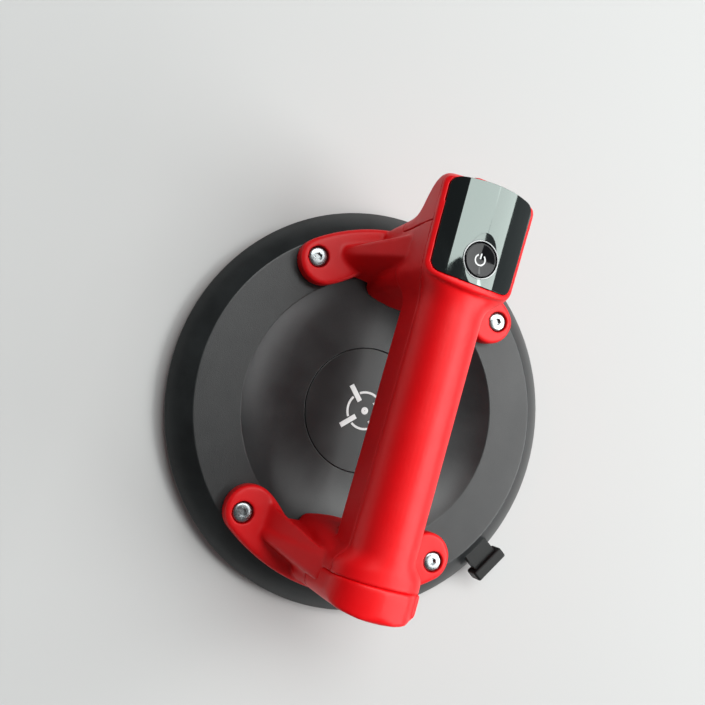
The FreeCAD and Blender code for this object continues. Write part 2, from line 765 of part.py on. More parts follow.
def rounded_plate(w, h, y0, y1, x, z):
    """Plate in the XZ plane from y0 to y1, with its two short ends fully round."""
    r = h / 2 - 0.001
    body = block(x - w / 2, x + w / 2, y0, y1, z - h / 2, z + h / 2)
    edges = [e for e in body.Edges if abs(e.BoundBox.YLength - (y1 - y0)) < 0.01]
    return body.makeFillet(min(r, w / 2 - 0.01), edges)


def cover_mid_z():
    return board_z - port_h / 2


# ---------------------------------------------------------------- display and button
def display_panel():
    plate = panel_prism(panel_gap).common(under_crown(0.0, panel_proud)).cut(under_crown(panel_t))
    hole = cylinder(button_r + button_clear + button_ring_w, 40, 0, button_y, 70)
    depth = dimple_depth
    ball_r = (dimple_r * dimple_r + depth * depth) / (2 * depth)
    ball = Part.makeSphere(ball_r, V(0, button_y, crown_top_z - depth + ball_r))
    return plate.cut(hole).cut(ball)


def button_ring():
    inner = button_r + button_clear
    top = crown_top_z - 0.35
    bottom = crown_top_z - panel_t - 0.2
    return tube(inner + button_ring_w, inner, top - bottom, 0, button_y, bottom)


def power_button():
    """Dished cap with a flange under the panel and a stem to the switch."""
    flange_top = crown_z(button_r + flange_w) - panel_t - 0.4
    top = crown_top_z - 0.5
    cap = cylinder(button_r, top - flange_top, 0, button_y, flange_top)
    edge = [e for e in cap.Edges if edge_height(e, top)]
    cap = cap.makeFillet(0.6, edge)
    flange = cylinder(button_r + flange_w, flange_h, 0, button_y, flange_top - flange_h)
    stem_low = tact_top() + button_travel + 0.1
    stem = cylinder(1.8, flange_top - stem_low, 0, button_y, stem_low)
    dish_depth = 0.7
    dish_r = ((button_r - 0.9) ** 2 + dish_depth ** 2) / (2 * dish_depth)
    dish = Part.makeSphere(dish_r, V(0, button_y, top - dish_depth + dish_r))
    return cap.multiFuse([flange, stem]).cut(dish)


def edge_height(edge, z):
    box = edge.BoundBox
    return abs(box.ZMin - z) < 0.01 and abs(box.ZMax - z) < 0.01


def tact_top():
    return board_z + board_t + tact_h + 0.5


def button_dome():
    """Silicone dome that pushes the button back up."""
    low = board_z + board_t
    flange_top = crown_z(button_r + flange_w) - panel_t - 0.4
    high = flange_top - flange_h - 0.05
    r0, r1, t = button_r + 0.8, button_r - 2.2, 0.6
    edges = polyline([V(r0, 0, low), V(r0, 0, low + t), V(r1 + t, 0, high), V(r1 - t, 0, high),
                      V(r1 - t, 0, high - t), V(r0 - 2 * t, 0, low + t),
                       V(r0 - 2 * t, 0, low), V(r0, 0, low)])
    dome = revolve(edges)
    dome.translate(V(0, button_y, 0))
    return dome


def control_board():
    plate = block(-board_half_w, board_half_w, board_y0, board_y1, board_z, board_z + board_t)
    corners = [e for e in plate.Edges if abs(e.BoundBox.ZLength - board_t) < 0.01]
    plate = plate.makeFillet(2.0, corners)
    holes = [cylinder(board_screw_r + 0.1, 10, x, y, board_z - 4) for x, y in board_posts()]
    return plate.cut(Part.makeCompound(holes))


def tact_switch():
    z = board_z + board_t
    body = block(-tact_w / 2, tact_w / 2, button_y - tact_w / 2, button_y + tact_w / 2, z, z + tact_h)
    return body.fuse(cylinder(1.75, 0.5, 0, button_y, z + tact_h))


def display_module():
    z = board_z + board_t
    y1 = board_y1 - 1.5
    body = block(-display_w / 2, display_w / 2, y1 - display_l, y1, z, z + display_h)
    window = block(-display_w / 2 + 2, display_w / 2 - 2,
                   y1 - display_l + 2, y1 - 2, z + display_h - 0.5, z + 20)
    posts = [cylinder(board_post_r + 0.3, 20, x, y, z - 1) for x, y in board_posts()]
    return body.cut(window).cut(Part.makeCompound(posts))


def board_screws():
    screws = []
    for x, y in board_posts():
        head = cylinder(1.9, 1.3, x, y, board_z - 1.3)
        shank = cylinder(board_screw_r - 0.15, 5.5, x, y, board_z - 0.2)
        screws.append(head.fuse(shank).cut(cross_recess(x, y, board_z - 1.3)))
    return Part.makeCompound(screws)


def cross_recess(x, y, z):
    """Cross-shaped driver recess, opening downwards at z."""
    arm, t, depth = 1.1, 0.35, 0.7
    one = block(x - arm, x + arm, y - t / 2, y + t / 2, z - 1, z + depth)
    return one.fuse(block(x - t / 2, x + t / 2, y - arm, y + arm, z - 1, z + depth))


def pressure_sensor():
    body = block(air_x - sensor_w / 2, air_x + sensor_w / 2, air_y - sensor_w / 2, air_y + sensor_w / 2,
                 board_z - sensor_h, board_z)
    barb = cylinder(thin_barb_r - 0.02, 4, air_x, air_y, board_z - sensor_h - 4)
    return body.fuse(barb)


def charge_port():
    y1 = cover_floor_y - 0.4
    z = cover_mid_z()
    shell = rounded_plate(port_w, port_h, y1 - port_l, y1, 0, z)
    mouth = rounded_plate(port_w - 0.6, port_h - 0.6, y1 - port_l + 1, y1 + 1, 0, z)
    tongue = block(-3.3, 3.3, y1 - port_l + 0.5, y1 - 1.6, z - 0.35, z + 0.35)
    return shell.cut(mouth).fuse(tongue)


def charge_cover():
    """Rubber plug over the charge port, kept on the lifter by a barbed leg."""
    z = cover_mid_z()
    plate = rounded_plate(cover_w, cover_h, cover_floor_y + 0.1, cover_face_y, 0, z)
    face = [e for e in plate.Edges if e.BoundBox.YMin > cover_face_y - 0.01]
    plate = plate.makeFillet(0.8, face)
    mouth_y = cover_floor_y - 0.4
    plug = rounded_plate(port_w - 1.3, port_h - 1.3, mouth_y - 1.0, cover_floor_y + 1, 0, z)
    leg_z = z - cover_leg_drop
    barb_y = cover_floor_y - handle_wall - cover_travel - 2.0
    leg = cylinder(cover_leg_r, cover_floor_y + 1 - barb_y, cover_leg_x, barb_y, leg_z, V(0, 1, 0))
    barb = Part.makeCone(cover_leg_r, cover_barb_r, 1.6, V(cover_leg_x, barb_y, leg_z), V(0, 1, 0))
    return plate.multiFuse([plug, leg, barb])


# ---------------------------------------------------------------- pump and air line
def pump_z():
    return ring_z + pump_pad_h


def motor_z():
    return pump_z() + pump_h


def pump_pad():
    half = pump_w / 2 - 1.0
    return block(pump_x - half, pump_x + half, pump_y - half, pump_y + half, ring_z, pump_z())


def pump_head():
    z = pump_z()
    half = pump_w / 2
    body = block(pump_x - half, pump_x + half, pump_y - half, pump_y + half, z, z + pump_h)
    upright = [e for e in body.Edges if abs(e.BoundBox.ZLength - pump_h) < 0.01]
    body = body.makeFillet(3.0, upright)
    chamber = cylinder(pump_chamber_r, pump_chamber_h, pump_x, pump_y, z + pump_h - pump_chamber_h)
    barb_z = z + branch_rise
    barb = cylinder(air_bore_r - 0.02, 4.0, pump_x - half - 2.6, air_y, barb_z, V(1, 0, 0))
    grooves = [tube(40, half * 1.32, 0.5, pump_x, pump_y, z + h) for h in (6.0, 9.0)]
    return body.cut(chamber).cut(Part.makeCompound(grooves)).fuse(barb)


def pump_motor():
    can = cylinder(motor_r, motor_h, pump_x, pump_y, motor_z())
    ends = [e for e in can.Edges if edge_height(e, motor_z() + motor_h)]
    can = can.makeFillet(1.2, ends)
    boss = cylinder(3.0, 1.5, pump_x, pump_y, motor_z() + motor_h)
    return can.fuse(boss).cut(cylinder(shaft_r + shaft_clear, 60, pump_x, pump_y, pump_z()))


def pump_rotor():
    """Motor shaft with the eccentric that works the pump's diaphragm."""
    z = motor_z() - eccentric_h - 1.5
    shaft = cylinder(shaft_r, motor_h + eccentric_h + 4.0, pump_x, pump_y, z)
    lobe = cylinder(eccentric_r, eccentric_h, pump_x + eccentric_off, pump_y, z)
    return shaft.fuse(lobe)


def motor_sleeve():
    return tube(motor_r + sleeve_t - 0.02, motor_r, sleeve_h, pump_x, pump_y, motor_z() + 4.0)


def port_fitting():
    """Barbed nipple through the plate, with the flange that carries the filter."""
    flange_z = ring_z - base_wall - 1.0
    flange = cylinder(port_flange_r - 0.02, 1.0, air_x, air_y, flange_z)
    nipple = cylinder(barb_r - 0.02, base_wall + 6.0, air_x, air_y, flange_z + 0.5)
    ring = Part.makeCone(barb_r + 0.35, barb_r, 1.2, V(air_x, air_y, ring_z + 3.0), Z_AXIS)
    return flange.multiFuse([nipple, ring]).cut(cylinder(air_bore_r, 30, air_x, air_y, flange_z - 1))


def inlet_filter():
    z = ring_z - base_wall - 1.0 - filter_t
    return cylinder(filter_r, filter_t, air_x, air_y, z)


def air_tee():
    """Branch piece that joins port, pump and pressure sensor."""
    z = ring_z + 6.4
    body = cylinder(barb_r, 13.0, air_x, air_y, z)
    block_z = pump_z() + branch_rise
    branch = cylinder(barb_r, 5.0, air_x, air_y, block_z, V(1, 0, 0))
    nipple = cylinder(thin_barb_r - 0.02, 4.0, air_x, air_y, z + 13.0)
    bore = cylinder(air_bore_r, 40, air_x, air_y, z - 1)
    side = cylinder(air_bore_r, 12, air_x, air_y, block_z, V(1, 0, 0))
    return body.multiFuse([branch, nipple]).cut(bore.fuse(side))


def port_hose():
    low, high = ring_z + 0.4, ring_z + 9.0
    sleeve = cylinder(barb_r + hose_t, high - low, air_x, air_y, low)
    return sleeve.cut(cylinder(barb_r, 40, air_x, air_y, low - 5)).cut(
        Part.makeCone(barb_r + 0.35, barb_r, 1.2, V(air_x, air_y, ring_z + 3.0), Z_AXIS))


def sensor_hose():
    low = ring_z + 19.4
    high = board_z - sensor_h - 0.2
    return tube(thin_barb_r + hose_t, thin_barb_r, high - low, air_x, air_y, low)


# ---------------------------------------------------------------- battery
def cell_starts():
    return [battery_y0, battery_y0 + cell_l + 0.2]


def battery_cell(y):
    """Round cell lying along the bar, its raised cap towards the head."""
    along = V(0, 1, 0)
    can = cylinder(cell_r, cell_l - 1.2, 0, y, cell_z, along)
    ends = [e for e in can.Edges if e.BoundBox.YLength < 0.01]
    can = can.makeFillet(0.6, ends)
    cap = cylinder(3.2, 1.3, 0, y + cell_l - 1.3, cell_z, along)
    return can.fuse(cap)


def contact_spring():
    """Flat plate with a conical spring that presses on the rear cell."""
    y_plate = battery_y0 - 4.0
    plate = block(-6, 6, y_plate - contact_t, y_plate, cell_z - 6, cell_z + 6)
    turns = []
    for i in range(spring_turns):
        y = y_plate + spring_wire + i * (4.0 - 2 * spring_wire) / (spring_turns - 1)
        turns.append(Part.makeTorus(5.0 - 0.7 * i, spring_wire, V(0, y, cell_z), V(0, 1, 0)))
    return Part.makeCompound([plate] + turns)


def front_contact():
    y = cell_starts()[1] + cell_l
    return block(-6, 6, y, y + contact_t, cell_z - 6, cell_z + 6)


# ---------------------------------------------------------------- release valve
def radial(r, x0, x1, z=rod_z):
    return cylinder(r, x1 - x0, x0, 0, z, V(1, 0, 0))


def knob_inner_r():
    return knob_r_out - knob_head_t


def valve_carrier():
    """Socket under the plate that holds the valve body."""
    socket = radial(carrier_r, valve_body_r0, valve_body_r1 + 2.0)
    keep = block(0, 120, -20, 20, 0, ring_z - base_wall / 2)
    return on_valve_axis(socket.common(keep))


def valve_space():
    half_w = knob_stem_w / 2 + knob_gap
    half_h = knob_stem_h / 2 + knob_gap
    slot = block(knob_stem_r_in - knob_gap - 1.0, 125, -half_w, half_w, knob_z - half_h, knob_z + half_h)
    bore = radial(valve_body_r, valve_body_r0 - 1, valve_body_r1)
    channel = radial(rod_r + 0.3, valve_body_r1 - 1, 95)
    return slot.multiFuse([bore, channel])


def valve_body():
    body = radial(valve_body_r, valve_body_r0, valve_body_r1)
    chamber = radial(valve_bore_r, valve_body_r0 + valve_wall, valve_body_r1 - valve_wall)
    vent = radial(vent_r, valve_body_r0 - 1, valve_body_r0 + valve_wall + 1)
    guide = radial(rod_r + rod_clear, valve_body_r1 - valve_wall - 1, valve_body_r1 + 1)
    return on_valve_axis(body.cut(Part.makeCompound([chamber, vent, guide])))


def release_knob():
    """T-shaped knob: a grip bar across a flat stem that slides in the skirt."""
    inner = knob_inner_r()
    stem = block(knob_stem_r_in, inner + 1, -knob_stem_w / 2, knob_stem_w / 2,
                 knob_z - knob_stem_h / 2, knob_z + knob_stem_h / 2)
    grip = block(inner, knob_r_out, -knob_head_w / 2, knob_head_w / 2,
                 knob_z - knob_head_h / 2, knob_z + knob_head_h / 2)
    grip = grip.makeFillet(knob_edge_r, grip.Edges)
    socket = radial(rod_r, knob_stem_r_in - 1, knob_stem_r_in + 5)
    return on_valve_axis(stem.fuse(grip).cut(socket))


def release_rod():
    start = valve_body_r0 + valve_wall + poppet_t
    rod = radial(rod_r, start, knob_stem_r_in + 5)
    collar = radial(poppet_r, start, start + collar_t)
    return on_valve_axis(rod.fuse(collar))


def valve_poppet():
    start = valve_body_r0 + valve_wall
    return on_valve_axis(radial(poppet_r, start + 0.05, start + poppet_t))


def release_spring():
    start = valve_body_r0 + valve_wall + poppet_t + collar_t + spring_wire
    end = valve_body_r1 - valve_wall - spring_wire
    turns = []
    for i in range(release_spring_turns):
        x = start + (end - start) * i / (release_spring_turns - 1)
        turns.append(Part.makeTorus(release_spring_r, spring_wire, V(x, 0, rod_z), V(1, 0, 0)))
    return on_valve_axis(Part.makeCompound(turns))


# ---------------------------------------------------------------- fasteners
def leg_screws():
    """Four button-head socket screws that hold the feet to the plate."""
    head = cylinder(head_screw_r, head_screw_h, screw_x, screw_y, screw_seat_z)
    rim = [e for e in head.Edges if edge_height(e, screw_seat_z + head_screw_h)]
    head = head.makeFillet(1.9, rim)
    shank = cylinder(screw_shank_r, screw_len + 0.5, screw_x, screw_y, screw_seat_z - screw_len)
    corners = [V(screw_x + screw_socket_r * math.cos(math.radians(a)),
                 screw_y + screw_socket_r * math.sin(math.radians(a)),
                  screw_seat_z + head_screw_h - screw_socket_h)
               for a in range(0, 361, 60)]
    socket = Part.Face(Part.makePolygon(corners)).extrude(V(0, 0, 5))
    return Part.makeCompound(quarters(head.fuse(shank).cut(socket)))


def threaded_inserts():
    sleeve = tube(insert_r, insert_bore_r, insert_h, screw_x, screw_y, ring_z - insert_h)
    return Part.makeCompound(quarters(sleeve))


def main():
    walls = handle_form().cut(handle_hollow()).cut(seam_grooves())
    save(base_shell(), "base_shell")
    save(centre_disc(), "centre_disc")
    save(seal_ring(), "seal_ring")
    save(lower_frame(walls), "lower_frame")
    save(top_shell(walls), "top_shell")
    save(tail_cap(walls), "tail_cap")
    save(head_end_cover(walls), "head_end_cover")
    save(display_panel(), "display_panel")
    save(button_ring(), "button_ring")
    save(power_button(), "power_button")
    save(button_dome(), "button_dome")
    save(control_board(), "control_board")
    save(tact_switch(), "tact_switch")
    save(display_module(), "display_module")
    save(board_screws(), "board_screws")
    save(pressure_sensor(), "pressure_sensor")
    save(charge_port(), "charge_port")
    save(charge_cover(), "charge_cover")
    save(pump_pad(), "pump_pad")
    save(pump_head(), "pump_head")
    save(pump_motor(), "pump_motor")
    save(pump_rotor(), "pump_rotor")
    save(motor_sleeve(), "motor_sleeve")
    save(port_fitting(), "port_fitting")
    save(inlet_filter(), "inlet_filter")
    save(air_tee(), "air_tee")
    save(port_hose(), "port_hose")
    save(sensor_hose(), "sensor_hose")
    for name, y in zip(("rear", "front"), cell_starts()):
        save(battery_cell(y), "battery_cell_" + name)
    save(contact_spring(), "contact_spring")
    save(front_contact(), "front_contact")
    save(valve_body(), "valve_body")
    save(release_knob(), "release_knob")
    save(release_rod(), "release_rod")
    save(valve_poppet(), "valve_poppet")
    save(release_spring(), "release_spring")
    save(leg_screws(), "leg_screws")
    save(threaded_inserts(), "threaded_inserts")


main()
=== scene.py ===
import math

import bmesh
import bpy
from mathutils import Matrix, Vector
from mathutils.bvhtree import BVHTree


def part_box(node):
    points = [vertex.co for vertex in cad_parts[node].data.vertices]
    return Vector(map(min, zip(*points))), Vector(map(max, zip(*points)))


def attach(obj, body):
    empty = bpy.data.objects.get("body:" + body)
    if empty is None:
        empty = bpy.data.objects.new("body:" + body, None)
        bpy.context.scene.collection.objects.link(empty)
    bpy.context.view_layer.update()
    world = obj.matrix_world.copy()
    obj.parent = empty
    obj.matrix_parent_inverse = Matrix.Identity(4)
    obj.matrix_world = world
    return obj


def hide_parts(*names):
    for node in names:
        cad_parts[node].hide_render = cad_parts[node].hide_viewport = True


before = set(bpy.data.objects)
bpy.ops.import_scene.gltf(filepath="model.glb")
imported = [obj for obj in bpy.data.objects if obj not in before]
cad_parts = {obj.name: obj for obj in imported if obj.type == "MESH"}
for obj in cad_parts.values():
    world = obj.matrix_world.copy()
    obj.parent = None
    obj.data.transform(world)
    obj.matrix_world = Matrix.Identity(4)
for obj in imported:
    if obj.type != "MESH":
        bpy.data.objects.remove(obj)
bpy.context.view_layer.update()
print("frame loaded,", len(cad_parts), "nodes")


# helpers for node trees; an input is a plain value or another node's output
def addNode(tree, kind, inputs=None, **settings):
    node = tree.nodes.new(kind)
    for key, value in settings.items():
        setattr(node, key, value)
    for key, value in (inputs or {}).items():
        if isinstance(value, bpy.types.NodeSocket):
            tree.links.new(value, node.inputs[key])
        else:
            node.inputs[key].default_value = value
    return node


def newGroup(name, inputs, outputs):
    group = bpy.data.node_groups.new(name, "ShaderNodeTree")
    sockets = group.interface
    for label, value in inputs.items():
        socket = sockets.new_socket(name=label, in_out="INPUT", socket_type="NodeSocketFloat")
        socket.default_value = value
    for label, kind in outputs.items():
        sockets.new_socket(name=label, in_out="OUTPUT", socket_type="NodeSocket" + kind)
    given = group.nodes.new("NodeGroupInput").outputs
    out = group.nodes.new("NodeGroupOutput").inputs
    return group, given, out


def useGroup(tree, group, **values):
    node = tree.nodes.new("ShaderNodeGroup")
    node.node_tree = group
    for key, value in values.items():
        node.inputs[key].default_value = value
    return node.outputs


def mathNode(tree, operation, a, b=0.0, clamp=False):
    return addNode(tree, "ShaderNodeMath", {0: a, 1: b}, operation=operation, use_clamp=clamp).outputs[0]


def noiseNode(tree, point, scale, detail, output="Fac", **more):
    return addNode(tree, "ShaderNodeTexNoise",
                   {"Vector": point, "Scale": scale, "Detail": detail, **more}).outputs[output]


def remap(tree, value, given=(0.0, 1.0), wanted=(0.0, 1.0), kind="LINEAR"):
    return addNode(tree, "ShaderNodeMapRange",
                   {"Value": value, "From Min": given[0], "From Max": given[1],
                    "To Min": wanted[0], "To Max": wanted[1]}, interpolation_type=kind).outputs[0]


def window(tree, value, start, end, fade):
    # 1 between start and end, fading to 0 over fade outside them
    rise = remap(tree, value, (start - fade, start), kind="SMOOTHSTEP")
    fall = remap(tree, value, (end, end + fade), (1.0, 0.0), kind="SMOOTHSTEP")
    return mathNode(tree, "MULTIPLY", rise, fall)


def blendColor(tree, factor, a, b):
    node = addNode(tree, "ShaderNodeMix", {"Factor": factor}, data_type="RGBA")
    for socket, value in ((node.inputs[6], a), (node.inputs[7], b)):
        if isinstance(value, bpy.types.NodeSocket):
            tree.links.new(value, socket)
        else:
            socket.default_value = (*value, 1.0)
    return node.outputs[2]


def blendValue(tree, factor, a, b):
    return addNode(tree, "ShaderNodeMix", {"Factor": factor, "A": a, "B": b}, data_type="FLOAT").outputs[0]


def bumpNode(tree, height, distance, strength, normal=None):
    inputs = {"Height": height, "Distance": distance, "Strength": strength}
    if normal is not None:
        inputs["Normal"] = normal
    return addNode(tree, "ShaderNodeBump", inputs).outputs[0]


def objectPoint(tree):
    return addNode(tree, "ShaderNodeTexCoord").outputs["Object"]


def surfaceNormal(tree):
    return addNode(tree, "ShaderNodeNewGeometry").outputs["Normal"]


# effects that several materials share; all scales are per metre
bevelSamples = 6


def makeEdgeWear():
    # lighter rubbed edges: where a rounded normal leaves the true one, broken up by noise
    group, given, out = newGroup("edgeWear", {"Radius": 0.0005, "Strength": 3.0, "Breakup": 300.0},
                                 {"Mask": "Float"})
    rounded = addNode(group, "ShaderNodeBevel", {"Radius": given["Radius"]}, samples=bevelSamples).outputs[0]
    same = addNode(group, "ShaderNodeVectorMath", {0: rounded, 1: surfaceNormal(group)},
                   operation="DOT_PRODUCT").outputs["Value"]
    edge = mathNode(group, "MULTIPLY", mathNode(group, "SUBTRACT", 1.0, same), given["Strength"], clamp=True)
    noise = noiseNode(group, objectPoint(group), given["Breakup"], 4.0)
    broken = remap(group, noise, wanted=(0.3, 1.2))
    group.links.new(mathNode(group, "MULTIPLY", edge, broken, clamp=True), out["Mask"])
    return group


def makeSoftEdge():
    # a small rounding of every edge, in the normal alone
    group, given, out = newGroup("softEdge", {"Radius": 0.0003}, {"Normal": "Vector"})
    rounded = addNode(group, "ShaderNodeBevel", {"Radius": given["Radius"]}, samples=bevelSamples).outputs[0]
    group.links.new(rounded, out["Normal"])
    return group


grainBlend = {"fine": 0.35, "slow": 0.65, "tint": (0.35, 0.65)}


def makeGrain():
    # fine moulded grain with slow patches of tone over it
    group, given, out = newGroup("grain", {"Scale": 2500.0, "Patches": 60.0},
                                 {"Height": "Float", "Tint": "Float"})
    point = objectPoint(group)
    fine = noiseNode(group, point, given["Scale"], 3.0, Roughness=0.6)
    slow = noiseNode(group, point, given["Patches"], 5.0, Roughness=0.55)
    group.links.new(fine, out["Height"])
    mixed = mathNode(group, "ADD", mathNode(group, "MULTIPLY", fine, grainBlend["fine"]),
                     mathNode(group, "MULTIPLY", slow, grainBlend["slow"]))
    group.links.new(remap(group, mixed, grainBlend["tint"]), out["Tint"])
    return group


pebbleForm = {"warpScale": 500.0, "warp": (0.0007, 0.0007, 0.0007), "crease": (0.0, 0.35)}


def makeLeather():
    # shallow pebbles with creases between them
    group, given, out = newGroup("leather", {"Scale": 1300.0}, {"Height": "Float"})
    point = objectPoint(group)
    warp = noiseNode(group, point, pebbleForm["warpScale"], 2.0, output="Color")
    moved = addNode(group, "ShaderNodeVectorMath", {0: warp, 1: pebbleForm["warp"]}, operation="MULTIPLY")
    place = addNode(group, "ShaderNodeVectorMath", {0: point, 1: moved.outputs[0]}, operation="ADD")
    cells = addNode(group, "ShaderNodeTexVoronoi", {"Vector": place.outputs[0], "Scale": given["Scale"]},
                    feature="DISTANCE_TO_EDGE").outputs["Distance"]
    group.links.new(remap(group, cells, pebbleForm["crease"], kind="SMOOTHSTEP"), out["Height"])
    return group


dustAndSheenFall = {"facing": (0.55, 1.0), "patch": (0.35, 0.75)}


def makeDustAndSheen():
    # dust that settles on faces that look up, in patches; its lighter, paler tone on those tops also paints a
    # sheen of light on them
    group, given, out = newGroup("dustAndSheen", {"Amount": 0.2, "Patches": 90.0}, {"Mask": "Float"})
    up = addNode(group, "ShaderNodeSeparateXYZ", {0: surfaceNormal(group)}).outputs["Z"]
    facing = remap(group, up, dustAndSheenFall["facing"])
    patch = remap(group, noiseNode(group, objectPoint(group), given["Patches"], 6.0), dustAndSheenFall["patch"])
    amount = mathNode(group, "MULTIPLY", mathNode(group, "MULTIPLY", facing, patch), given["Amount"],
                      clamp=True)
    group.links.new(amount, out["Mask"])
    return group


wipe = {"turn": (0.0, 0.0, 0.5), "stretch": (1.0, 0.35, 1.0), "marks": (0.42, 0.7)}


def makeSmudge():
    # wiped finger marks on a polished face
    group, given, out = newGroup("smudge", {"Scale": 120.0}, {"Mask": "Float"})
    point = addNode(group, "ShaderNodeMapping", {"Vector": objectPoint(group), "Rotation": wipe["turn"],
                                                 "Scale": wipe["stretch"]}).outputs[0]
    noise = noiseNode(group, point, given["Scale"], 6.0, Distortion=0.6)
    group.links.new(remap(group, noise, wipe["marks"]), out["Mask"])
    return group


edgeWear = makeEdgeWear()
softEdge = makeSoftEdge()
grain = makeGrain()
leather = makeLeather()
dustAndSheen = makeDustAndSheen()
smudge = makeSmudge()
print("shared effects built")


# materials; pairs of roughness go with the dark and the light tone
def newMaterial(name):
    material = bpy.data.materials.new(name)
    material.use_nodes = True
    return material, material.node_tree, material.node_tree.nodes["Principled BSDF"]


def feedShader(tree, shader, sources):
    for key, source in sources.items():
        tree.links.new(source, shader.inputs[key])


def setShader(shader, values):
    for key, value in values.items():
        shader.inputs[key].default_value = value


def wornDustAndSheenTone(tree, look, tone):
    # edges rubbed lighter, then dust and a painted sheen on what looks up
    rubbed = useGroup(tree, edgeWear, Radius=look.get("wearRadius", 0.0005), Strength=look.get("wear", 1.5))
    tone = blendColor(tree, rubbed["Mask"], tone, look["worn"])
    if look.get("dustAndSheen"):
        dustAndSheenOn = useGroup(tree, dustAndSheen, Amount=look["dustAndSheen"])
        tone = blendColor(tree, dustAndSheenOn["Mask"], tone, look["dustAndSheenColor"])
    return tone


def moulded(name, look):
    # a moulded, cast or turned surface: two tones, rubbed edges, dust with a painted sheen on the tops, grain
    # in the bump
    material, tree, shader = newMaterial(name)
    texture = useGroup(tree, grain, Scale=look["grainScale"], Patches=look.get("patches", 60.0))
    tone = wornDustAndSheenTone(tree, look, blendColor(tree, texture["Tint"], look["dark"], look["light"]))
    edge = useGroup(tree, softEdge, Radius=look.get("edgeRadius", 0.0003))
    feedShader(tree, shader, {
        "Base Color": tone,
        "Roughness": remap(tree, texture["Tint"], wanted=look["roughness"]),
        "Normal": bumpNode(tree, texture["Height"], look["bump"], 0.5, edge["Normal"])})
    setShader(shader, look.get("shader", {}))
    return material


redCasing = {"dark": (0.86, 0.001, 0.004), "light": (0.92, 0.002, 0.006), "worn": (0.94, 0.04, 0.04),
             "dustAndSheen": 0.05, "dustAndSheenColor": (0.55, 0.12, 0.12), "roughness": (0.36, 0.44),
             "grainScale": 2600.0, "bump": 0.00004, "wear": 0.9, "patches": 35.0,
             "shader": {"IOR": 1.5, "Specular IOR Level": 0.3}}
# on this frame the up-facing dust tone is mostly a painted sheen: it paints the tops of the legs and ribs
# lighter and paler
redFrame = {"dark": (0.76, 0.001, 0.004), "light": (0.84, 0.003, 0.007), "worn": (0.90, 0.06, 0.06),
            "dustAndSheen": 0.10, "dustAndSheenColor": (0.50, 0.16, 0.16), "roughness": (0.38, 0.50),
            "grainScale": 2200.0, "bump": 0.00006, "wear": 1.2, "patches": 45.0,
            "shader": {"IOR": 1.5, "Specular IOR Level": 0.3}}
redRubber = {"dark": (0.74, 0.001, 0.004), "light": (0.80, 0.003, 0.006), "worn": (0.68, 0.05, 0.05),
             "roughness": (0.48, 0.60), "grainScale": 2000.0, "bump": 0.00005, "wear": 0.5}
redSeal = {"dark": (0.34, 0.010, 0.012), "light": (0.42, 0.016, 0.018), "worn": (0.50, 0.06, 0.06),
           "roughness": (0.45, 0.60), "grainScale": 1400.0, "bump": 0.00005, "wear": 0.4,
           "shader": {"Subsurface Weight": 0.1, "Subsurface Radius": (0.002, 0.0006, 0.0004)}}
discLook = {"dark": (0.005, 0.0058, 0.0065), "light": (0.009, 0.0098, 0.0105), "worn": (0.08, 0.08, 0.08),
            "dustAndSheen": 0.04, "dustAndSheenColor": (0.07, 0.07, 0.07), "roughness": (0.30, 0.35),
            "grainScale": 3200.0, "bump": 0.00002, "wear": 0.8, "patches": 80.0}
knobLook = {"dark": (0.008, 0.009, 0.009), "light": (0.014, 0.015, 0.015), "worn": (0.10, 0.105, 0.105),
            "dustAndSheen": 0.03, "dustAndSheenColor": (0.06, 0.06, 0.06), "roughness": (0.38, 0.50),
            "grainScale": 1800.0, "bump": 0.00005, "wear": 1.0, "shader": {"Specular IOR Level": 0.2}}
blackPart = {"dark": (0.018, 0.018, 0.019), "light": (0.030, 0.030, 0.031), "worn": (0.09, 0.09, 0.09),
             "roughness": (0.42, 0.55), "grainScale": 2200.0, "bump": 0.00005, "wear": 0.8}
siliconeLook = {"dark": (0.52, 0.51, 0.48), "light": (0.60, 0.59, 0.56), "worn": (0.70, 0.69, 0.66),
                "roughness": (0.40, 0.52), "grainScale": 900.0, "bump": 0.00003, "wear": 0.3,
                "shader": {"Subsurface Weight": 0.2, "Subsurface Radius": (0.002, 0.0018, 0.0015)}}
zincLook = {"dark": (0.24, 0.26, 0.27), "light": (0.38, 0.40, 0.41), "worn": (0.92, 0.92, 0.93),
            "roughness": (0.20, 0.34), "grainScale": 1600.0, "bump": 0.00003, "wear": 1.0,
            "patches": 400.0, "shader": {"Metallic": 1.0}}
steelLook = {"dark": (0.50, 0.50, 0.51), "light": (0.62, 0.62, 0.63), "worn": (0.80, 0.80, 0.81),
             "roughness": (0.22, 0.34), "grainScale": 1500.0, "bump": 0.00002, "wear": 0.8,
             "patches": 250.0, "shader": {"Metallic": 1.0}}
brassLook = {"dark": (0.56, 0.37, 0.12), "light": (0.70, 0.50, 0.20), "worn": (0.85, 0.68, 0.36),
             "roughness": (0.22, 0.36), "grainScale": 1500.0, "bump": 0.00003, "wear": 0.8,
             "patches": 250.0, "shader": {"Metallic": 1.0}}
chromeLook = {"dark": (0.14, 0.142, 0.143), "light": (0.17, 0.172, 0.173), "worn": (0.14, 0.14, 0.14),
              "roughness": (0.05, 0.14), "grainScale": 900.0, "bump": 0.000005, "wear": 0.5,
              "shader": {"Metallic": 1.0}}
motorCan = {"dark": (0.44, 0.45, 0.46), "light": (0.58, 0.59, 0.60), "worn": (0.74, 0.74, 0.75),
            "roughness": (0.28, 0.42), "grainScale": 1200.0, "bump": 0.00003, "wear": 0.8,
            "patches": 160.0, "shader": {"Metallic": 1.0}}
printLook = {"dark": (0.72, 0.73, 0.73), "light": (0.82, 0.83, 0.83), "worn": (0.60, 0.61, 0.61),
             "roughness": (0.30, 0.45), "grainScale": 1500.0, "bump": 0.00002, "wear": 0.3,
             "patches": 300.0}

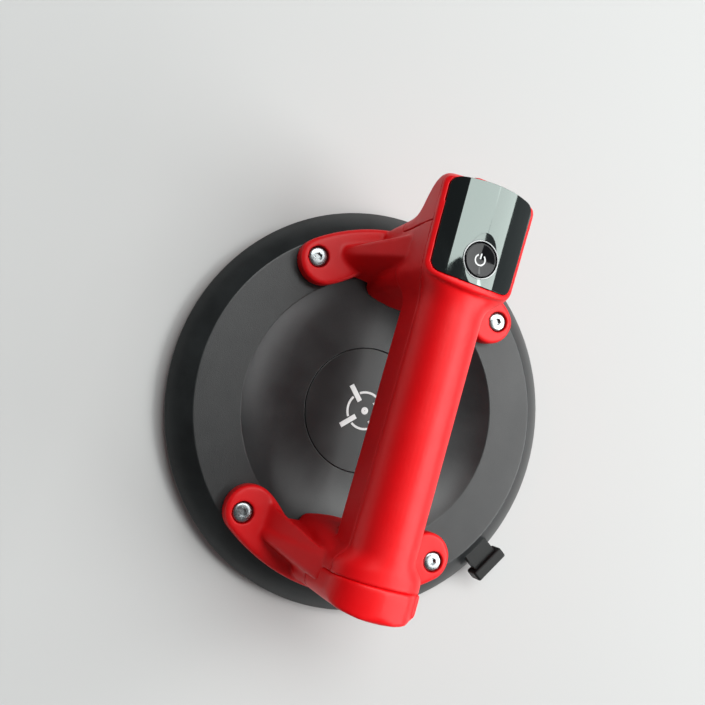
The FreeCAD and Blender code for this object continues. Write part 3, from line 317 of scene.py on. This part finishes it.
# ring holds the flat ring's inner and outer radius, height the levels between which it lies
baseLook = {"ring": (0.0676, 0.0893), "ringFade": 0.0006, "height": (0.0174, 0.03), "heightFade": 0.0004,
            "dark": (0.004, 0.0048, 0.0055), "ringLight": (0.008, 0.0088, 0.0095),
            "dishLight": (0.020, 0.023, 0.024), "crease": (0.016, 0.016, 0.017), "creaseShare": 0.35,
            "worn": (0.12, 0.125, 0.125), "wearRadius": 0.0006, "wear": 1.2, "dustAndSheen": 0.05,
            "dustAndSheenColor": (0.10, 0.10, 0.098), "grainScale": 2400.0, "patches": 40.0,
            "pebbleScale": 1900.0, "dishRoughness": (0.30, 0.35), "ringRoughness": (0.38, 0.46),
            "dishGrain": 0.2, "edgeRadius": 0.0003, "bump": 0.00004}


def baseMaterial(look):
    # pebbled leather grain on the flat ring, smoother dish and skirt
    material, tree, shader = newMaterial("baseBlack")
    split = addNode(tree, "ShaderNodeSeparateXYZ", {0: objectPoint(tree)}).outputs
    plan = addNode(tree, "ShaderNodeCombineXYZ", {"X": split["X"], "Y": split["Y"]}).outputs[0]
    radius = addNode(tree, "ShaderNodeVectorMath", {0: plan}, operation="LENGTH").outputs["Value"]
    onRing = mathNode(tree, "MULTIPLY", window(tree, radius, *look["ring"], look["ringFade"]),
                      window(tree, split["Z"], *look["height"], look["heightFade"]))
    texture = useGroup(tree, grain, Scale=look["grainScale"], Patches=look["patches"])
    pebbles = useGroup(tree, leather, Scale=look["pebbleScale"])
    dishTone = blendColor(tree, texture["Tint"], look["dark"], look["dishLight"])
    ringTone = blendColor(tree, texture["Tint"], look["dark"], look["ringLight"])
    tone = blendColor(tree, onRing, dishTone, ringTone)
    creases = mathNode(tree, "MULTIPLY", mathNode(tree, "SUBTRACT", 1.0, pebbles["Height"]), onRing)
    tone = blendColor(tree, mathNode(tree, "MULTIPLY", creases, look["creaseShare"]), tone, look["crease"])
    dishGrain = mathNode(tree, "MULTIPLY", texture["Height"], look["dishGrain"])
    height = blendValue(tree, onRing, dishGrain, pebbles["Height"])
    edge = useGroup(tree, softEdge, Radius=look["edgeRadius"])
    feedShader(tree, shader, {
        "Base Color": wornDustAndSheenTone(tree, look, tone),
        "Roughness": blendValue(tree, onRing, remap(tree, texture["Tint"], wanted=look["dishRoughness"]),
                                remap(tree, texture["Tint"], wanted=look["ringRoughness"])),
        "Normal": bumpNode(tree, height, look["bump"], 0.5, edge["Normal"])})
    return material


glassLook = {"color": (0.004, 0.005, 0.006), "marked": (0.008, 0.009, 0.010), "roughness": (0.015, 0.08),
             "smudgeScale": 90.0, "waveScale": 60.0, "wave": 0.00004,
             "shader": {"IOR": 1.62, "Specular Tint": (0.90, 1.0, 0.96, 1.0), "Coat Weight": 1.0,
                        "Coat Roughness": 0.02, "Coat IOR": 1.35, "Coat Tint": (0.92, 1.0, 0.97, 1.0)}}
buttonLook = {"color": (0.005, 0.005, 0.006), "marked": (0.010, 0.010, 0.011), "roughness": (0.03, 0.12),
              "smudgeScale": 220.0, "waveScale": 120.0, "wave": 0.00003, "shader": {"IOR": 1.3}}


def glossMaterial(name, look):
    # polished black plastic or glass with faint finger marks and a slow wave in its face
    material, tree, shader = newMaterial(name)
    marks = useGroup(tree, smudge, Scale=look["smudgeScale"])
    wave = useGroup(tree, grain, Scale=look["waveScale"], Patches=20.0)
    edge = useGroup(tree, softEdge, Radius=0.0002)
    feedShader(tree, shader, {
        "Base Color": blendColor(tree, marks["Mask"], look["color"], look["marked"]),
        "Roughness": remap(tree, marks["Mask"], wanted=look["roughness"]),
        "Normal": bumpNode(tree, wave["Height"], look["wave"], 0.3, edge["Normal"])})
    setShader(shader, look["shader"])
    return material


boardLook = {"trackScale": 420.0, "trackEdge": (0.05, 0.12), "track": (0.012, 0.13, 0.045),
             "mask": (0.010, 0.075, 0.030), "speckle": (0.02, 0.16, 0.06), "speckleShare": 0.3,
             "roughness": (0.25, 0.38), "bump": 0.00003}


def boardMaterial(look):
    # green solder mask with the tracks showing through it
    material, tree, shader = newMaterial("circuitBoard")
    tracks = addNode(tree, "ShaderNodeTexVoronoi", {"Vector": objectPoint(tree), "Scale": look["trackScale"],
                                                    "Randomness": 0.35},
                     feature="DISTANCE_TO_EDGE", distance="EUCLIDEAN").outputs["Distance"]
    line = remap(tree, tracks, look["trackEdge"])
    texture = useGroup(tree, grain, Scale=1800.0, Patches=200.0)
    tone = blendColor(tree, line, look["track"], look["mask"])
    speckle = mathNode(tree, "MULTIPLY", texture["Tint"], look["speckleShare"])
    feedShader(tree, shader, {
        "Base Color": blendColor(tree, speckle, tone, look["speckle"]),
        "Roughness": remap(tree, texture["Tint"], wanted=look["roughness"]),
        "Normal": bumpNode(tree, line, look["bump"], 0.6)})
    return material


foamLook = {"cellScale": 2200.0, "pitShade": (0.10, 0.10, 0.10), "wall": (0.30, 0.30, 0.29),
            "roughness": (0.95, 0.75), "bump": 0.0003}


def foamMaterial(look):
    material, tree, shader = newMaterial("openFoam")
    # the cells are darker towards their middles: painted shade in the hollow pits, lighter on the walls
    # between them
    cells = addNode(tree, "ShaderNodeTexVoronoi", {"Vector": objectPoint(tree),
                                                   "Scale": look["cellScale"]}).outputs["Distance"]
    feedShader(tree, shader, {
        "Base Color": blendColor(tree, cells, look["pitShade"], look["wall"]),
        "Roughness": remap(tree, cells, wanted=look["roughness"]),
        "Normal": bumpNode(tree, cells, look["bump"], 0.9)})
    return material


cellLook = {"dark": (0.012, 0.10, 0.30), "light": (0.020, 0.14, 0.38), "metal": (0.66, 0.66, 0.67),
            "endFacing": 0.8, "roughness": (0.22, 0.36), "bump": 0.00006}


def cellMaterial(look):
    # blue shrink sleeve over most of the cell, bare metal at its ends
    material, tree, shader = newMaterial("cellWrap")
    texture = useGroup(tree, grain, Scale=700.0, Patches=120.0)
    along = addNode(tree, "ShaderNodeSeparateXYZ", {0: surfaceNormal(tree)}).outputs["Y"]
    endFace = mathNode(tree, "GREATER_THAN", mathNode(tree, "ABSOLUTE", along), look["endFacing"])
    sleeve = blendColor(tree, texture["Tint"], look["dark"], look["light"])
    feedShader(tree, shader, {
        "Base Color": blendColor(tree, endFace, sleeve, look["metal"]),
        "Metallic": endFace,
        "Roughness": remap(tree, texture["Tint"], wanted=look["roughness"]),
        "Normal": bumpNode(tree, texture["Height"], look["bump"], 0.4)})
    return material


materials = {
    "redCasing": moulded("redCasing", redCasing), "redFrame": moulded("redFrame", redFrame),
    "redRubber": moulded("redRubber", redRubber), "redSeal": moulded("redSeal", redSeal),
    "base": baseMaterial(baseLook), "disc": moulded("discBlack", discLook),
    "knob": moulded("knobBlack", knobLook), "blackPart": moulded("blackPart", blackPart),
    "silicone": moulded("silicone", siliconeLook), "zinc": moulded("zincPlate", zincLook),
    "steel": moulded("springSteel", steelLook), "brass": moulded("turnedBrass", brassLook),
    "chrome": moulded("chromeTrim", chromeLook), "motorCan": moulded("motorCan", motorCan),
    "print": moulded("whitePrint", printLook), "glass": glossMaterial("panelGlass", glassLook),
    "button": glossMaterial("buttonGloss", buttonLook), "board": boardMaterial(boardLook),
    "foam": foamMaterial(foamLook), "cell": cellMaterial(cellLook),
}

finishes = {
    "redCasing": ["top_shell", "tail_cap"], "redFrame": ["lower_frame", "head_end_cover"],
    "redRubber": ["charge_cover"], "redSeal": ["seal_ring"], "base": ["base_shell"],
    "disc": ["centre_disc"], "knob": ["release_knob"], "glass": ["display_panel"],
    "button": ["power_button"], "chrome": ["button_ring"], "zinc": ["leg_screws", "board_screws"],
    "brass": ["threaded_inserts", "front_contact"], "motorCan": ["pump_motor"],
    "steel": ["release_spring", "contact_spring", "release_rod", "pump_rotor", "charge_port"],
    "board": ["control_board"], "foam": ["inlet_filter"],
    "cell": ["battery_cell_front", "battery_cell_rear"],
    "silicone": ["port_hose", "sensor_hose", "button_dome", "pump_pad", "motor_sleeve", "valve_poppet"],
    "blackPart": ["pump_head", "port_fitting", "air_tee", "pressure_sensor", "tact_switch",
                  "display_module", "valve_body"],
}


def dressNodes():
    dressed = set()
    for finish, names in finishes.items():
        for name in names:
            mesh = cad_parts[name].data
            mesh.materials.clear()
            mesh.materials.append(materials[finish])
            dressed.add(name)
    print("dressed", len(dressed), "nodes; plain ones left:", sorted(set(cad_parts) - dressed))


dressNodes()


# helpers for pieces
def formFrom(*meshes):
    form = bmesh.new()
    for mesh in meshes:
        form.from_mesh(mesh)
    return form


def intoMesh(form, mesh):
    form.to_mesh(mesh)
    form.free()
    return mesh


def placeObject(name, mesh):
    piece = bpy.data.objects.new(name, mesh)
    bpy.context.scene.collection.objects.link(piece)
    return piece


def settlePiece(piece, body, finish, node=None):
    piece.data.materials.clear()
    piece.data.materials.append(materials[finish])
    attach(piece, body)
    if node:
        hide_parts(node)


def loftInto(form, rows):
    # rings of points joined in order, with both ends closed
    rings = [[form.verts.new(point) for point in row] for row in rows]
    count = len(rings[0])
    for near, far in zip(rings, rings[1:]):
        for i in range(count):
            form.faces.new((near[i], near[(i + 1) % count], far[(i + 1) % count], far[i]))
    form.faces.new(rings[0])
    form.faces.new(rings[-1])


# the foot screws' places, and how far round each the frame keeps its own form
screwPlaces = {"x": 0.0513, "y": 0.0637, "keep": 0.0062}

# the red mouldings are redrawn over the nodes' own forms, with soft blends inside the zones;
# a zone is (lowest corner, highest corner, rounds of smoothing) and holds on both sides of x = 0
lowerMoulding = {"node": "lower_frame", "finish": "redFrame", "voxel": 0.0007,
                 "zones": [((0.0150, -0.0900, 0.0250), (0.0600, -0.0530, 0.0740), 7),
                           ((0.0150, 0.0560, 0.0250), (0.0600, 0.0900, 0.0740), 6),
                           ((0.0, -0.1000, 0.0300), (0.0300, -0.0780, 0.0755), 6)]}
tailMoulding = {"node": "tail_cap", "finish": "redCasing", "voxel": 0.0005,
                "zones": [((0.0, -0.1000, 0.0440), (0.0300, -0.0700, 0.1000), 14)]}
topMoulding = {"node": "top_shell", "finish": "redCasing", "voxel": 0.0005,
               "zones": [((0.0, -0.0735, 0.0770), (0.0300, -0.0560, 0.1000), 24),
                         ((0.0, 0.0460, 0.0770), (0.0300, 0.0585, 0.1000), 8)]}

# rib from a rear foot up to the tail: (distance from the middle, inner side, outer side) at each end
rearRib = {"foot": (0.0408, 0.0545, 0.0685), "wall": (0.0185, 0.0692, 0.0788), "low": 0.0190,
           "pad": 0.0258, "top": 0.0685, "ease": 0.09, "steps": 16}


def ribForm(side):
    # the rib leaves the foot in a hollow curve and then rises straight to the tail
    ease, steps = rearRib["ease"], rearRib["steps"]
    low, pad, top = rearRib["low"], rearRib["pad"], rearRib["top"]
    rows = []
    for i in range(steps + 1):
        t = i / steps
        x, yIn, yOut = [a + (b - a) * t for a, b in zip(rearRib["foot"], rearRib["wall"])]
        rise = (t - ease * (1 - math.exp(-t / ease))) / (1 - ease * (1 - math.exp(-1 / ease)))
        z = pad + (top - pad) * rise
        rows.append([(side * x, -yIn, low), (side * x, -yIn, z),
                     (side * x, -yOut, z), (side * x, -yOut, low)])
    form = bmesh.new()
    loftInto(form, rows)
    bmesh.ops.recalc_face_normals(form, faces=form.faces)
    return intoMesh(form, bpy.data.meshes.new("rib"))


def mirroredForm(node):
    # the left half of a moulding and its mirror image
    form = formFrom(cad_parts[node].data)
    bmesh.ops.remove_doubles(form, verts=form.verts, dist=1e-6)
    bmesh.ops.bisect_plane(form, geom=form.verts[:] + form.edges[:] + form.faces[:], dist=1e-7,
                           plane_co=(0, 0, 0), plane_no=(1, 0, 0), clear_outer=True)
    bmesh.ops.mirror(form, geom=form.verts[:] + form.edges[:] + form.faces[:], axis="X", merge_dist=1e-5)
    bmesh.ops.recalc_face_normals(form, faces=form.faces)
    return intoMesh(form, bpy.data.meshes.new(node + "Half"))


def nearScrew(point):
    return math.hypot(abs(point.x) - screwPlaces["x"], abs(point.y) - screwPlaces["y"]) < screwPlaces["keep"]


def insideZone(point, low, high):
    return low[0] <= abs(point.x) <= high[0] and low[1] <= point.y <= high[1] and low[2] <= point.z <= high[2]


def meltedForm(name, look, *meshes):
    # one skin over the meshes, with its sharp joins rounded inside each zone
    piece = placeObject(name, intoMesh(formFrom(*meshes), bpy.data.meshes.new(name)))
    melt = piece.modifiers.new("melt", "REMESH")
    melt.mode = "VOXEL"
    melt.voxel_size = look["voxel"]
    melt.use_smooth_shade = True
    melted = bpy.data.meshes.new_from_object(piece.evaluated_get(bpy.context.evaluated_depsgraph_get()))
    piece.modifiers.clear()
    form = formFrom(melted)
    for low, high, rounds in look["zones"]:
        chosen = [v for v in form.verts if insideZone(v.co, low, high) and not nearScrew(v.co)]
        for _ in range(rounds):
            bmesh.ops.smooth_vert(form, verts=chosen, factor=0.5,
                                  use_axis_x=True, use_axis_y=True, use_axis_z=True)
    piece.data = intoMesh(form, melted)
    settlePiece(piece, "lifter", look["finish"], look["node"])
    print(name, len(melted.vertices), "points")


# button-head screws of the feet, as (radius, height over the seat) from the seat up to the socket's rim
footScrew = {"seat": 0.0226, "profile": ((0.00500, 0.0), (0.00515, 0.0002), (0.00515, 0.0014),
                                         (0.0050, 0.0020), (0.0045, 0.00255), (0.0038, 0.00278),
                                         (0.0026, 0.00285)),
             "socket": 0.00165, "socketEdge": 0.0001, "depth": 0.0016, "steps": 48,
             "turns": (12.0, 37.0, 51.0, 5.0)}


def screwRows(centre, turn):
    # up the head's profile, then down the six flats of its socket
    steps, edge, top = footScrew["steps"], footScrew["socketEdge"], footScrew["profile"][-1][1]
    rows = [[(radius, height)] * steps for radius, height in footScrew["profile"]]
    flats = [footScrew["socket"] / math.cos((2 * math.pi * i / steps) % (math.pi / 3) - math.pi / 6)
             for i in range(steps)]
    rows += [[(flat + edge, top) for flat in flats], [(flat, top - edge) for flat in flats],
             [(flat, top - footScrew["depth"]) for flat in flats]]
    angles = [2 * math.pi * i / steps + math.radians(turn) for i in range(steps)]
    return [[centre + Vector((radius * math.cos(angle), radius * math.sin(angle), height))
             for (radius, height), angle in zip(row, angles)] for row in rows]


def makeScrews():
    form = bmesh.new()
    for (sx, sy), turn in zip([(-1, -1), (-1, 1), (1, -1), (1, 1)], footScrew["turns"]):
        centre = Vector((sx * screwPlaces["x"], sy * screwPlaces["y"], footScrew["seat"]))
        loftInto(form, screwRows(centre, turn))
    bmesh.ops.recalc_face_normals(form, faces=form.faces)
    mesh = intoMesh(form, bpy.data.meshes.new("footScrews"))
    mesh.shade_smooth()
    mesh.set_sharp_from_angle(angle=math.radians(40))
    settlePiece(placeObject("footScrews", mesh), "lifter", "zinc", "leg_screws")


meltedForm("lowerMoulding", lowerMoulding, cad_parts["lower_frame"].data, ribForm(-1), ribForm(1))
meltedForm("tailMoulding", tailMoulding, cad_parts["tail_cap"].data)
meltedForm("topMoulding", topMoulding, mirroredForm("top_shell"))
makeScrews()
print("mouldings drawn")


# printed marks are thin closed forms on the surface below them; a strip is a row of point pairs
def ringSector(centre, radii, angles, steps):
    # part of a ring, angles in degrees
    turns = [math.radians(angles[0] + (angles[1] - angles[0]) * i / steps) for i in range(steps + 1)]
    return [[Vector((centre.x + radius * math.cos(turn), centre.y + radius * math.sin(turn)))
             for radius in radii] for turn in turns]


def barStrip(centre, angle, reach, width, steps):
    # a bar that runs outward along angle, between the two distances of reach
    lean = math.radians(angle)
    along = Vector((math.cos(lean), math.sin(lean)))
    across = Vector((-along.y, along.x)) * width / 2
    places = [reach[0] + (reach[1] - reach[0]) * i / steps for i in range(steps + 1)]
    return [(centre + along * d - across, centre + along * d + across) for d in places]


def layStrips(name, strips, surface, thickness, closedStrips=()):
    # the top lies thickness above the surface, the bottom just clear of it
    clearance = 0.05 * thickness
    tree = BVHTree.FromObject(surface, bpy.context.evaluated_depsgraph_get())
    form = bmesh.new()

    def drop(point):
        return tree.ray_cast(Vector((point.x, point.y, 1.0)), Vector((0.0, 0.0, -1.0)))[0].z

    for index, strip in enumerate(strips):
        closed = index in closedStrips
        rows = []
        for pair in strip[:-1] if closed else strip:
            low = [form.verts.new((p.x, p.y, drop(p) + clearance)) for p in pair]
            high = [form.verts.new((p.x, p.y, drop(p) + thickness)) for p in pair]
            rows.append((low, high))
        count = len(rows)
        for i in range(count if closed else count - 1):
            (lowA, highA), (lowB, highB) = rows[i], rows[(i + 1) % count]
            form.faces.new((highA[0], highA[1], highB[1], highB[0]))
            form.faces.new((lowA[1], lowA[0], lowB[0], lowB[1]))
            form.faces.new((lowA[0], highA[0], highB[0], lowB[0]))
            form.faces.new((highA[1], lowA[1], lowB[1], highB[1]))
        if not closed:
            for low, high in (rows[0], rows[-1]):
                form.faces.new((low[0], low[1], high[1], high[0]))
    bmesh.ops.recalc_face_normals(form, faces=form.faces)
    return placeObject(name, intoMesh(form, bpy.data.meshes.new(name)))


# centring mark: a dot, a broken ring and a bar through each break
centreMark = {"dot": (0.0002, 0.0019), "dotSteps": 32, "ring": (0.0088, 0.0100), "ringSteps": 20,
              "gap": 12.0, "bar": (0.0056, 0.0150), "barWidth": 0.0026, "barSteps": 6,
              "bars": 4, "turn": 45.0, "thickness": 0.00015}


def makeCentreMark():
    middle = Vector((0.0, 0.0))
    gap, part = centreMark["gap"], 360 / centreMark["bars"]
    strips = [ringSector(middle, centreMark["dot"], (0, 360), centreMark["dotSteps"])]
    for i in range(centreMark["bars"]):
        angle = centreMark["turn"] + i * part
        strips += [barStrip(middle, angle, centreMark["bar"], centreMark["barWidth"], centreMark["barSteps"]),
                   ringSector(middle, centreMark["ring"], (angle + gap, angle + part - gap),
                              centreMark["ringSteps"])]
    piece = layStrips("centreMark", strips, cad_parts["centre_disc"], centreMark["thickness"],
                      closedStrips=(0,))
    settlePiece(piece, "lifter", "print")


# power sign: a ring open at the top, by opening degrees each way, and a stem in the gap
powerIcon = {"radius": 0.0024, "line": 0.0007, "opening": 34.0, "ringSteps": 40,
             "stem": (0.0004, 0.0029), "stemSteps": 6, "thickness": 0.00005}


def makePowerIcon():
    low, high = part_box("power_button")
    middle = Vector(((low.x + high.x) / 2, (low.y + high.y) / 2))
    radii = (powerIcon["radius"] - powerIcon["line"] / 2, powerIcon["radius"] + powerIcon["line"] / 2)
    angles = (90 + powerIcon["opening"], 450 - powerIcon["opening"])
    strips = [ringSector(middle, radii, angles, powerIcon["ringSteps"]),
              barStrip(middle, 90, powerIcon["stem"], powerIcon["line"], powerIcon["stemSteps"])]
    piece = layStrips("powerIcon", strips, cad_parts["power_button"], powerIcon["thickness"])
    settlePiece(piece, "button", "print")


makeCentreMark()
makePowerIcon()
print("marks laid")


# room: floor, lamps, world and camera
floorLook = {"half": 3.0, "squares": 8, "dark": (0.578, 0.578, 0.574), "light": (0.59, 0.59, 0.587),
             "patchScale": 3.0, "shader": {"Roughness": 0.85, "Specular IOR Level": 0.1}}


def makeFloor():
    form = bmesh.new()
    bmesh.ops.create_grid(form, x_segments=floorLook["squares"], y_segments=floorLook["squares"],
                          size=floorLook["half"])
    floor = placeObject("floor", intoMesh(form, bpy.data.meshes.new("floor")))
    material, tree, shader = newMaterial("floorPaint")
    patches = noiseNode(tree, objectPoint(tree), floorLook["patchScale"], 4.0)
    feedShader(tree, shader, {"Base Color": blendColor(tree, patches, floorLook["dark"], floorLook["light"])})
    setShader(shader, floorLook["shader"])
    floor.data.materials.append(material)


# every lamp looks at the same point over the floor, from distance along aim
lampTarget = Vector((0.0, 0.0, 0.05))
lamps = {
    "keyLight": {"aim": Vector((0.62, 0.20, 0.76)), "distance": 2.0, "size": (1.02, 1.60), "power": 34.0,
                 "color": (0.98, 1.0, 0.99)},
    "topLight": {"aim": Vector((0.03, 0.437, 0.90)), "distance": 1.6, "size": (1.22, 0.55), "power": 14.5,
                 "color": (0.97, 1.0, 0.99)},
    "windowLight": {"aim": Vector((0.895, -0.10, 0.42)), "distance": 1.5, "size": (0.48, 0.80), "power": 7.0,
                    "color": (1.0, 1.0, 1.0)},
}


def areaLamp(name, look):
    data = bpy.data.lights.new(name, "AREA")
    data.shape = "RECTANGLE"
    data.size, data.size_y = look["size"]
    data.energy = look["power"]
    data.color = look["color"]
    away = look["aim"].normalized()
    upright = (Vector((0.0, 1.0, 0.0)) - away * away.y).normalized()  # long side along the handle
    axes = Matrix((upright.cross(away), upright, away)).transposed()
    lamp = placeObject(name, data)
    lamp.matrix_world = Matrix.Translation(lampTarget + away * look["distance"]) @ axes.to_4x4()


# the room is dim on the left and a little brighter on the right, from one x of the sky to the other
skyLight = {"dim": (0.10, 0.10, 0.10), "bright": (0.27, 0.275, 0.28), "across": (-0.5, 0.9),
            "background": (0.86, 0.865, 0.86)}


def makeWorld():
    world = bpy.data.worlds.new("room")
    world.use_nodes = True
    tree = world.node_tree
    tree.nodes.clear()
    cameraRay = addNode(tree, "ShaderNodeLightPath").outputs["Is Camera Ray"]
    sky = addNode(tree, "ShaderNodeTexCoord").outputs["Generated"]
    x = addNode(tree, "ShaderNodeSeparateXYZ", {0: sky}).outputs["X"]
    share = remap(tree, x, skyLight["across"], kind="SMOOTHSTEP")
    tone = blendColor(tree, share, skyLight["dim"], skyLight["bright"])
    light = addNode(tree, "ShaderNodeBackground", {"Color": tone}).outputs[0]
    seen = addNode(tree, "ShaderNodeBackground", {"Color": (*skyLight["background"], 1.0),
                                                  "Strength": 1.0}).outputs[0]
    pick = addNode(tree, "ShaderNodeMixShader", {0: cameraRay, 1: light, 2: seen}).outputs[0]
    addNode(tree, "ShaderNodeOutputWorld", {"Surface": pick})
    bpy.context.scene.world = world


cameraPlace = {"at": (-0.172825, -0.029341, 0.458649), "right": (0.89597548, 0.27551936, 0.34830593),
               "up": (-0.29876496, 0.95422814, 0.01371712), "back": (-0.32858399, -0.11635181, 0.93728054),
               "lens": 48.11, "sensor": 36.0, "near": 0.01}


def makeCamera():
    data = bpy.data.cameras.new("camera")
    data.sensor_width = cameraPlace["sensor"]
    data.lens = cameraPlace["lens"]
    data.clip_start = cameraPlace["near"]
    camera = placeObject("camera", data)
    axes = Matrix((cameraPlace["right"], cameraPlace["up"], cameraPlace["back"])).transposed()
    camera.matrix_world = Matrix.Translation(Vector(cameraPlace["at"])) @ axes.to_4x4()
    bpy.context.scene.camera = camera


makeFloor()
for name, look in lamps.items():
    areaLamp(name, look)
makeWorld()
makeCamera()
bpy.context.scene.view_settings.view_transform = "Standard"
print("room, light and camera set")
